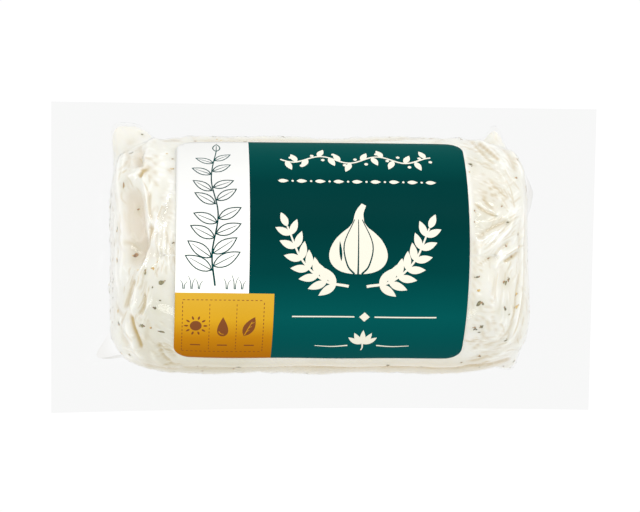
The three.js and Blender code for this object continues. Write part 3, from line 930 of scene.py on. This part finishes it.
def flake(center, nrm, size, turn, seed):
    """A small torn flake: a flattened lumpy shape that lies in the surface."""
    g = np.random.default_rng(seed)
    n = nrm / np.linalg.norm(nrm)
    a = np.cross(n, [0.13, 0.97, 0.2])
    a /= np.linalg.norm(a)
    b = np.cross(n, a)
    long = math.cos(turn) * a + math.sin(turn) * b
    wide = np.cross(n, long)
    rings, cols = 4, 10
    stretch = g.uniform(0.42, 0.9)
    edge = 1 + 0.27 * g.standard_normal(cols)
    edge = ((edge + 0.35 * np.roll(edge, 1) + 0.35 * np.roll(edge, -1)) / 1.7).clip(0.35, 1.7)
    th = np.arange(cols) * 2 * math.pi / cols
    pts = [center + n * 0.16]
    for k in range(1, rings + 1):
        f = k / rings
        lift = 0.16 * math.cos(f * math.pi * 0.62)
        rad = size / 2 * f * edge
        ring = center + np.outer(np.cos(th) * rad, long) + np.outer(np.sin(th) * rad * stretch, wide) + n * lift
        pts.extend(ring)
    pts.append(center - n * 0.35)
    faces = []
    for i in range(cols):
        faces.append((0, 1 + i, 1 + (i + 1) % cols))
    for k in range(rings - 1):
        p, q = 1 + k * cols, 1 + (k + 1) * cols
        for i in range(cols):
            j = (i + 1) % cols
            faces.append((p + i, q + i, q + j, p + j))
    last = 1 + (rings - 1) * cols
    for i in range(cols):
        faces.append((last + i, len(pts) - 1, last + (i + 1) % cols))
    return pts, faces


herb_parts = {k: ([], []) for k in spots}


def add_flake(kind, r, c, size, turn, seed, shift=(0.0, 0.0)):
    pts, faces = herb_parts[kind]
    n = shaped_normal[r, c]
    a = np.cross(n, [0.13, 0.97, 0.2])
    a /= np.linalg.norm(a)
    at = cheese_rows[r, c] - n * 0.06 + a * shift[0] + np.cross(n, a) * shift[1]
    p, f = flake(at, n, size, turn, seed)
    off = len(pts)
    pts.extend(p)
    faces.extend(tuple(v + off for v in q) for q in f)


# A fleck is a torn bit with one or two crumbs of another tone beside it.
MATES = {"green": ("brown", "green"), "brown": ("gold", "green"), "gold": ("brown", "gold")}
seed = 1000
for kind in list(spots):
    for r, c, size, turn, _k in spots[kind]:
        g = np.random.default_rng(seed)
        add_flake(kind, r, c, size * 0.86, turn, seed)
        for k in range(int(g.integers(1, 4)) if size > 0.9 else 0):
            way = g.uniform(0, 6.28)
            far = size * g.uniform(0.16, 0.40)
            add_flake(
                MATES[kind][k % 2], r, c, size * g.uniform(0.25, 0.5), turn + g.normal(0, 0.8), seed + 7 * k + 3,
                (far * math.cos(way), far * math.sin(way)),
            )
        seed += 31
        near = np.linalg.norm(cheese_rows - cheese_rows[r, c], axis=-1)
        fleck_cloud_and_shade = np.maximum(fleck_cloud_and_shade, (0.30 if kind != "gold" else 0.14) * np.exp(-((near / (0.62 * size)) ** 2)))
herb_objects = []
for kind, mat in (("green", green_mat), ("brown", brown_herb), ("gold", gold_herb)):
    herb_objects.append(make_object("herb_flecks_" + kind, np.array(herb_parts[kind][0]), herb_parts[kind][1], [mat]))
# Flecks a little below the surface show as soft grey-green clouds.
for x, y, size, k in ((160, 309, 2.6, 0.42), (156, 300, 1.8, 0.3), (478, 222, 2.0, 0.3), (484, 220, 1.8, 0.3), (476, 312, 1.6, 0.3), (506, 310, 1.8, 0.3), (138, 247, 1.6, 0.25), (478, 158, 2.0, 0.16)):
    d = np.where(face_cam, (flat_x - x) ** 2 + (flat_y - y) ** 2, 1e9)
    r, c = np.unravel_index(np.argmin(d), d.shape)
    near = np.linalg.norm(cheese_rows - cheese_rows[r, c], axis=-1)
    fleck_cloud_and_shade = np.maximum(fleck_cloud_and_shade, k * np.exp(-((near / size) ** 2)))

cheese, n_line = closed_skin("cheese_log", cheese_all, [cheese_mat])


def point_values(obj, name, grid, fill=0.0):
    a = obj.data.attributes.new(name, "FLOAT", "POINT")
    v = np.full(len(obj.data.vertices), fill, np.float32)
    v[: grid.size] = grid.reshape(-1)
    a.data.foreach_set("value", v)


beside = np.clip((outside + 0.1) / 0.25, 0, 1)
tan_shade *= beside
span_shade *= beside
# Painted shade: the front edge and the left foot of the log are painted a little darker.
front_edge_shade = np.clip((gloss_y - 356.0) / 10.0, 0, 1)
left_foot_shade = np.clip((gloss_y - 262.0) / 60.0, 0, 1) * np.clip((gloss_x - 132.0) / 14.0, 0, 1) * np.clip((300 - gloss_x) / 60.0, 0, 1)
fade = np.clip((Z - 3.0) / 15.0, 0, 1)[:, None]
fade = fade * fade * (3 - 2 * fade)
front_edge_shade[CROWN:] = front_edge_shade[CROWN - 1] * fade[CROWN:]
left_foot_shade[CROWN:] = left_foot_shade[CROWN - 1] * fade[CROWN:]
tan_shade = np.maximum(tan_shade, 0.30 * front_edge_shade * beside)
fleck_cloud_and_shade = np.maximum(fleck_cloud_and_shade, 0.26 * left_foot_shade)
# Painted highlight: where the web lifts off the cheese along the right edge of the label, the cheese is painted white.
edge_highlight = np.exp(-(((outside - 0.55) / 0.55) ** 2)) * (lab_u > 20) * seen
edge_highlight *= np.clip((gloss_y - 143.0) / 12.0, 0, 1) * np.clip((240.0 - gloss_y) / 18.0, 0, 1)
painted_highlight = np.maximum(painted_highlight, edge_highlight)
# Valleys of the fine wrinkles hold a little shade as well.
valley = np.clip(-body * 0.35, 0, 0.22)
point_values(cheese, "painted_shade", np.clip(np.maximum(tan_shade, valley) * 1.15, 0, 1).astype(np.float32))
point_values(cheese, "painted_highlight", np.clip(painted_highlight * beside, 0, 1).astype(np.float32))
point_values(cheese, "hollow_shade", np.clip(span_shade * 0.5, 0, 1).astype(np.float32))
point_values(cheese, "fleck_cloud_and_shade", np.clip(fleck_cloud_and_shade, 0, 0.6).astype(np.float32))

film_rows = np.concatenate([film_log, border, under])
film, _ = closed_skin("film_pouch", film_rows, [film_mat])
sealed = np.zeros(film_rows.shape[:2], np.float32)
sealed[RINGS:] = 1.0
sealed[:RINGS] = np.clip((6.0 - Z) / 4.0, 0, 1)[:, None]
point_values(film, "sealed", sealed)
point_values(film, "loose", loose.astype(np.float32))
# The cut edge is sharp, so each web keeps its own flat shading.
rim = RINGS + BORDER
on_rim = np.zeros(len(film.data.vertices), bool)
on_rim[(rim - 1) * COLS : (rim + 1) * COLS] = True
ends = np.zeros(2 * len(film.data.edges), np.int32)
film.data.edges.foreach_get("vertices", ends)
ends = ends.reshape(-1, 2)
sharp = on_rim[ends].all(1) & (np.abs(ends[:, 0] - ends[:, 1]) != COLS)
film.data.attributes.new("sharp_edge", "BOOLEAN", "EDGE").data.foreach_set("value", sharp)

# ------------------------------------------------------------------ label
WHITE, TEAL, GOLD, CREAM, BROWN = range(5)
shapes = []  # (material, outline) from the bottom layer up


def add(mat, pts):
    shapes.append((mat, np.array(pts, float)))


def box(x0, y0, x1, y1):
    return [(x0, y0), (x1, y0), (x1, y1), (x0, y1)]


def disc(x, y, r, n=18):
    t = np.arange(n) * 2 * math.pi / n
    return np.stack([x + r * np.cos(t), y + r * np.sin(t)], -1)


def leaf_shape(x, y, length, width, angle, n=9, tip=1.0):
    """A leaf from its stalk end at x, y."""
    t = np.linspace(0, 1, n)
    w = width / 2 * np.sin(math.pi * t**0.85) ** 0.9 * tip
    w[0] = w[-1] = 0
    one = np.stack([t * length, w], -1)
    two = np.stack([t[::-1][1:-1] * length, -w[::-1][1:-1]], -1)
    p = np.concatenate([one, two])
    c, s = math.cos(angle), math.sin(angle)
    return np.stack([x + p[:, 0] * c - p[:, 1] * s, y + p[:, 0] * s + p[:, 1] * c], -1)


def brush(pts, w0, w1=None):
    """A line drawn with a width that changes from its start to its end."""
    w1 = w0 if w1 is None else w1
    p = smooth(pts, 5)
    d = np.gradient(p, axis=0)
    d /= np.linalg.norm(d, axis=1, keepdims=True).clip(1e-9)
    n = np.stack([-d[:, 1], d[:, 0]], -1)
    w = np.linspace(w0, w1, len(p))[:, None] / 2
    return np.concatenate([p + n * w, (p - n * w)[::-1]])


def outlined_leaf(ink, ground, x, y, length, width, angle, line=0.22, vein=True):
    add(ink, leaf_shape(x, y, length, width, angle))
    c, s = math.cos(angle), math.sin(angle)
    k = line * 1.5
    add(ground, leaf_shape(x + c * k, y + s * k, length - 2.2 * k, width - 2 * line, angle))
    if vein:
        add(ink, brush([(x, y), (x + c * length * 0.45, y + s * length * 0.45), (x + c * length * 0.8, y + s * length * 0.8)], line * 0.9, line * 0.4))


def outline_of_label(n=10):
    hx, hy, r = LABEL_HALF_LENGTH, LABEL_HALF_ARC, LABEL_CORNER
    pts = []
    for cx, cy, a0 in ((hx - r, hy - r, 0), (-hx + r, hy - r, 90), (-hx + r, -hy + r, 180), (hx - r, -hy + r, 270)):
        for k in range(n + 1):
            a = math.radians(a0 + 90 * k / n)
            pts.append((cx + r * math.cos(a), cy + r * math.sin(a)))
    return np.array(pts)


LABEL_EDGE = outline_of_label()
add(WHITE, box(-27, -25, 27, 25))
add(TEAL, box(-13.0, -25, 27, 25))
add(GOLD, box(-27, -25, -8.5, -8.9))

# White field: a line-drawn herb sprig over tufts of grass.
stem = smooth([(-19.0, -7.6), (-19.6, -2.0), (-18.6, 5.0), (-19.8, 12.0), (-18.9, 19.5)], 8)
add(TEAL, brush(stem, 0.34, 0.18))
for i, f in enumerate(np.linspace(0.16, 0.93, 8)):
    x, y = stem[int(f * (len(stem) - 1))]
    grow = 1.0 - 0.42 * f
    outlined_leaf(TEAL, WHITE, x, y, 6.0 * grow, 2.5 * grow, math.radians(28 + 6 * math.sin(i * 2.1)), 0.2)
    outlined_leaf(TEAL, WHITE, x, y - 0.7, 6.0 * grow, 2.5 * grow, math.radians(152 - 6 * math.sin(i * 1.7)), 0.2)
outlined_leaf(TEAL, WHITE, stem[-1][0], stem[-1][1], 3.0, 1.5, math.radians(88), 0.2)
for x, tall in ((-24.6, 1.6), (-23.2, 2.3), (-21.9, 1.7), (-17.0, 2.0), (-15.6, 2.6), (-14.3, 1.8)):
    add(TEAL, brush([(x, -8.2), (x - 0.12, -8.2 + tall * 0.6), (x - 0.5, -8.2 + tall)], 0.2, 0.07))
    add(TEAL, brush([(x + 0.2, -8.2), (x + 0.32, -8.2 + tall * 0.5), (x + 0.75, -8.2 + tall * 0.85)], 0.18, 0.07))

# Teal field: a wavy leafy stem, a band of leaves, a garlic bulb between two branches, a rule, a sprig.
wave = [(x, 17.4 + 0.9 * math.sin((x - 7.5) * 0.62)) for x in np.linspace(-7.4, 19.8, 29)]
add(CREAM, brush(wave, 0.34, 0.34))
for i, (x, y) in enumerate(wave[1:-1:2]):
    up = 1 if i % 2 else -1
    add(CREAM, leaf_shape(x, y, 2.5, 1.15, math.radians(90 * up + 24 * (1 if i % 4 < 2 else -1))))
    add(CREAM, disc(x + 0.85, y - up * 1.0, 0.34, 12))
for i in range(9):
    x = 6.2 + (i - 4) * 3.3
    add(CREAM, leaf_shape(x - 0.95, 11.9, 1.9, 0.8, 0.0))
    if i < 8:
        add(CREAM, disc(x + 1.65, 11.9, 0.22, 10))
LOW = -5.2
bulb = []
for t in np.linspace(0, 2 * math.pi, 60, endpoint=False):
    r = 5.0 + 0.35 * math.cos(3 * (t - math.pi / 2))
    bx, by = r * 1.02 * math.cos(t), r * 0.86 * math.sin(t)
    if by > 0:
        by *= 1.0 + 0.55 * max(0, 1 - abs(bx) / 2.2) ** 1.5
        bx *= 1.0 - 0.35 * max(0, by - 2.2) / 5
    bulb.append((6.2 + bx, 4.0 + LOW + by))
add(CREAM, bulb)
add(CREAM, brush([(6.2, 9.0 + LOW), (6.4, 10.8 + LOW), (7.2, 12.4 + LOW)], 2.0, 0.9))
for off, lean in ((-2.6, -1.1), (0.0, 0.0), (2.6, 1.1)):
    add(TEAL, brush([(6.2 + off * 0.25, 9.6 + LOW), (6.2 + off * 0.85 + lean * 0.3, 5.2 + LOW), (6.2 + off * 0.75, 1.6 + LOW), (6.2 + off * 0.25, LOW)], 0.14, 0.34))
add(TEAL, leaf_shape(3.2, 2.2 + LOW, 3.6, 0.5, math.radians(95)))
for sgn in (-1, 1):
    branch = smooth([(6.2 + sgn * 1.6, -2.2 + LOW), (6.2 + sgn * 6.0, -1.2 + LOW), (6.2 + sgn * 10.0, 2.4 + LOW), (6.2 + sgn * 12.6, 8.2 + LOW)], 8)
    add(CREAM, brush(branch, 0.5, 0.3))
    for i, f in enumerate(np.linspace(0.18, 0.94, 7)):
        k = int(f * (len(branch) - 1))
        x, y = branch[k]
        dx, dy = branch[min(k + 1, len(branch) - 1)] - branch[k - 1]
        a = math.atan2(dy, dx)
        add(CREAM, leaf_shape(x, y, 3.9 - 0.9 * f, 1.5 - 0.2 * f, a + 0.75))
        add(CREAM, leaf_shape(x, y, 3.9 - 0.9 * f, 1.5 - 0.2 * f, a - 0.75))
    add(CREAM, leaf_shape(branch[-1][0], branch[-1][1], 2.8, 1.3, math.atan2(5.8, sgn * 2.6)))
add(CREAM, box(-5.2, -13.32, 5.9, -13.06))
add(CREAM, box(9.5, -13.32, 20.6, -13.06))
add(CREAM, [(7.7, -12.25), (8.65, -13.2), (7.7, -14.15), (6.75, -13.2)])
for a in (-52, -26, 0, 26, 52):
    add(CREAM, leaf_shape(7.7 + 0.5 * math.sin(math.radians(a)), -19.4, 3.4 - 0.012 * abs(a), 1.05, math.radians(90 - a)))
add(CREAM, brush([(7.7, -19.0), (7.8, -20.2), (7.6, -21.0)], 0.3, 0.2))
add(CREAM, brush([(-0.8, -19.8), (2.3, -20.0), (5.1, -19.7)], 0.16, 0.3))
add(CREAM, brush([(16.2, -19.8), (13.1, -20.0), (10.3, -19.7)], 0.16, 0.3))

# Gold field: stitched border, and a sun, a drop and a leaf in a row.
gx0, gx1, gy0, gy1 = -24.6, -10.2, -21.6, -10.2
for x in np.arange(gx0, gx1 - 0.3, 0.8):
    add(BROWN, box(x, gy0 - 0.07, x + 0.42, gy0 + 0.07))
    add(BROWN, box(x, gy1 - 0.07, x + 0.42, gy1 + 0.07))
for y in np.arange(gy0 + 0.2, gy1 - 0.3, 0.8):
    add(BROWN, box(gx0 - 0.07, y, gx0 + 0.07, y + 0.42))
    add(BROWN, box(gx1 - 0.07, y, gx1 + 0.07, y + 0.42))
for x in (-19.8, -15.0):
    for y in np.arange(gy0 + 0.6, gy1 - 0.6, 0.8):
        add(BROWN, box(x - 0.06, y, x + 0.06, y + 0.42))
add(BROWN, disc(-22.2, -15.4, 1.05, 20))
for k in range(10):
    a = k * math.pi / 5
    add(BROWN, leaf_shape(-22.2 + 1.3 * math.cos(a), -15.4 + 1.3 * math.sin(a), 0.85, 0.38, a))
drop = [(-17.4 + 1.35 * math.sin(t) * math.sin(t / 2) ** 1.2, -15.6 + 2.1 * math.cos(t)) for t in np.linspace(0.05, 2 * math.pi - 0.05, 28)]
add(BROWN, drop)
add(GOLD, brush([(-18.1, -16.6), (-17.7, -17.1), (-17.2, -17.2)], 0.2, 0.12))
add(BROWN, leaf_shape(-13.6, -17.6, 4.6, 2.0, math.radians(66)))
add(GOLD, brush([(-13.5, -17.4), (-12.9, -15.9), (-12.2, -14.4)], 0.2, 0.1))
for k in range(3):
    add(GOLD, brush([(-13.2 + 0.42 * k, -16.6 + 0.9 * k), (-12.6 + 0.40 * k, -16.2 + 0.85 * k)], 0.12, 0.06))
for x, r in ((-22.2, 0.9), (-17.4, 0.9), (-12.6, 0.9)):
    add(BROWN, box(x - r, -20.0, x + r, -19.72))


def inside(px, py, poly):
    hit = np.zeros(px.shape, bool)
    x0, y0 = poly[-1]
    for x1, y1 in poly:
        cross = ((y1 > py) != (y0 > py)) & (px < (x0 - x1) * (py - y1) / (y0 - y1 + 1e-12) + x1)
        hit ^= cross
        x0, y0 = x1, y1
    return hit


def label_mesh():
    pts, edges = [], []

    def loop(poly):
        fine = []
        for a, b in zip(poly, np.roll(poly, -1, 0)):
            k = max(1, int(np.hypot(*(b - a)) / 0.8))
            fine.extend(a + (b - a) * i / k for i in range(k))
        poly = fine
        n = len(pts)
        pts.extend(Vector((float(x), float(y))) for x, y in poly)
        edges.extend((n + i, n + (i + 1) % len(poly)) for i in range(len(poly)))

    loop(LABEL_EDGE)
    hx, hy = LABEL_HALF_LENGTH, LABEL_HALF_ARC
    for _m, poly in shapes[1:]:
        q = poly.copy()
        q[:, 0] = q[:, 0].clip(-hx - 0.6, hx + 0.6)
        q[:, 1] = q[:, 1].clip(-hy - 0.6, hy + 0.6)
        loop(q)
    for y in np.arange(-hy + 0.5, hy, 0.85):
        for x in np.arange(-hx + 0.5, hx, 0.95):
            pts.append(Vector((float(x + 0.013), float(y + 0.017))))
    v, _e, f, *_ = delaunay_2d_cdt(pts, edges, [], 0, 1e-5)
    v = np.array([(p.x, p.y) for p in v])
    f = np.array([t for t in f if len(t) == 3])
    c = v[f].mean(1)
    area = np.abs(np.cross(v[f[:, 1]] - v[f[:, 0]], v[f[:, 2]] - v[f[:, 0]]))
    keep = inside(c[:, 0], c[:, 1], LABEL_EDGE) & (area > 1e-7)
    f, c = f[keep], c[keep]
    mat = np.zeros(len(f), int)
    for m, poly in shapes:
        lo, hi = poly.min(0), poly.max(0)
        near = (c[:, 0] >= lo[0]) & (c[:, 0] <= hi[0]) & (c[:, 1] >= lo[1]) & (c[:, 1] <= hi[1])
        idx = np.nonzero(near)[0]
        if len(idx):
            mat[idx[inside(c[idx, 0], c[idx, 1], poly)]] = m
    used = np.unique(f)
    back = np.full(len(v), -1)
    back[used] = np.arange(len(used))
    return v[used], back[f], mat


lv, lf, lm = label_mesh()
# Counter-clockwise from above.
e1, e2 = lv[lf[:, 1]] - lv[lf[:, 0]], lv[lf[:, 2]] - lv[lf[:, 0]]
flip = (e1[:, 0] * e2[:, 1] - e1[:, 1] * e2[:, 0]) < 0
lf[flip] = lf[flip][:, ::-1]
wavy = 0.05 * np.sin(lv[:, 0] * 0.31 + 0.4) * np.sin(lv[:, 1] * 0.23 + 1.0)
top = label_points(lv[:, 0], lv[:, 1], 0.34 + wavy)
bottom = label_points(lv[:, 0], lv[:, 1], 0.18 + wavy)
n = len(lv)
tri = lf.tolist()
all_faces = list(tri) + [(c + n, b + n, a + n) for a, b, c in tri]
all_mats = lm.tolist() + [WHITE] * len(tri)
count = {}
for a, b, c in tri:
    for e in ((a, b), (b, c), (c, a)):
        count[e] = count.get(e, 0) + 1
for a, b in list(count):
    if (b, a) not in count:
        all_faces.append((b, a, a + n, b + n))
        all_mats.append(WHITE)
label = make_object("label_sheet", np.concatenate([top, bottom]), all_faces, [white_mat, teal_mat, gold_mat, cream_mat, brown_mat], all_mats)

# ------------------------------------------------------------------ riding
for piece in [film, cheese, label] + herb_objects:
    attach(piece, "root")
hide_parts("sealed_pouch")
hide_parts("label")

# ------------------------------------------------------------------ floor, light, camera
bpy.ops.mesh.primitive_plane_add(size=6.0, location=(0, 0, 0))
floor = bpy.context.object
floor.name = "floor"
fm, nt, out = new_material("pale_floor")
glow = node(nt, "ShaderNodeEmission", Strength=1.02)
glow.inputs["Color"].default_value = (1, 1, 1, 1)
nt.links.new(glow.outputs[0], out.inputs["Surface"])
floor.data.materials.append(fm)

scene = bpy.context.scene
world = bpy.data.worlds.new("studio")
world.use_nodes = True
scene.world = world
world.node_tree.nodes["Background"].inputs["Color"].default_value = (1, 1, 1, 1)
world.node_tree.nodes["Background"].inputs["Strength"].default_value = 1.0


def softbox(name, place, toward, wide, high, power):
    light = bpy.data.lights.new(name, "AREA")
    light.shape = "RECTANGLE"
    light.size, light.size_y = wide * MM, high * MM
    light.energy = power
    obj = bpy.data.objects.new(name, light)
    obj.location = Vector(place) * MM
    obj.rotation_euler = (Vector(toward) - Vector(place)).to_track_quat("-Z", "Y").to_euler()
    scene.collection.objects.link(obj)


softbox("softbox_back", (80, 380, 420), (0, 0, 15), 300, 90, 0.55)
softbox("softbox_left", (-420, 60, 330), (0, 0, 15), 90, 320, 0.39)
softbox("softbox_right", (430, 120, 330), (0, 0, 15), 90, 320, 0.45)
softbox("softbox_front", (-60, -460, 300), (0, 0, 15), 320, 90, 0.32)

cam = bpy.data.cameras.new("camera")
cam.sensor_width = 36.0
cam.sensor_fit = "HORIZONTAL"
cam.lens = FOCAL / WIDE * 36.0
cam.clip_start, cam.clip_end = 0.01, 20
cam_obj = bpy.data.objects.new("camera", cam)
cam_obj.location = Vector(EYE) * MM
cam_obj.rotation_euler = Matrix((RIGHT, UP, BACK)).transposed().to_euler()
scene.collection.objects.link(cam_obj)
scene.camera = cam_obj
scene.view_settings.view_transform = "Standard"
scene.view_settings.look = "None"
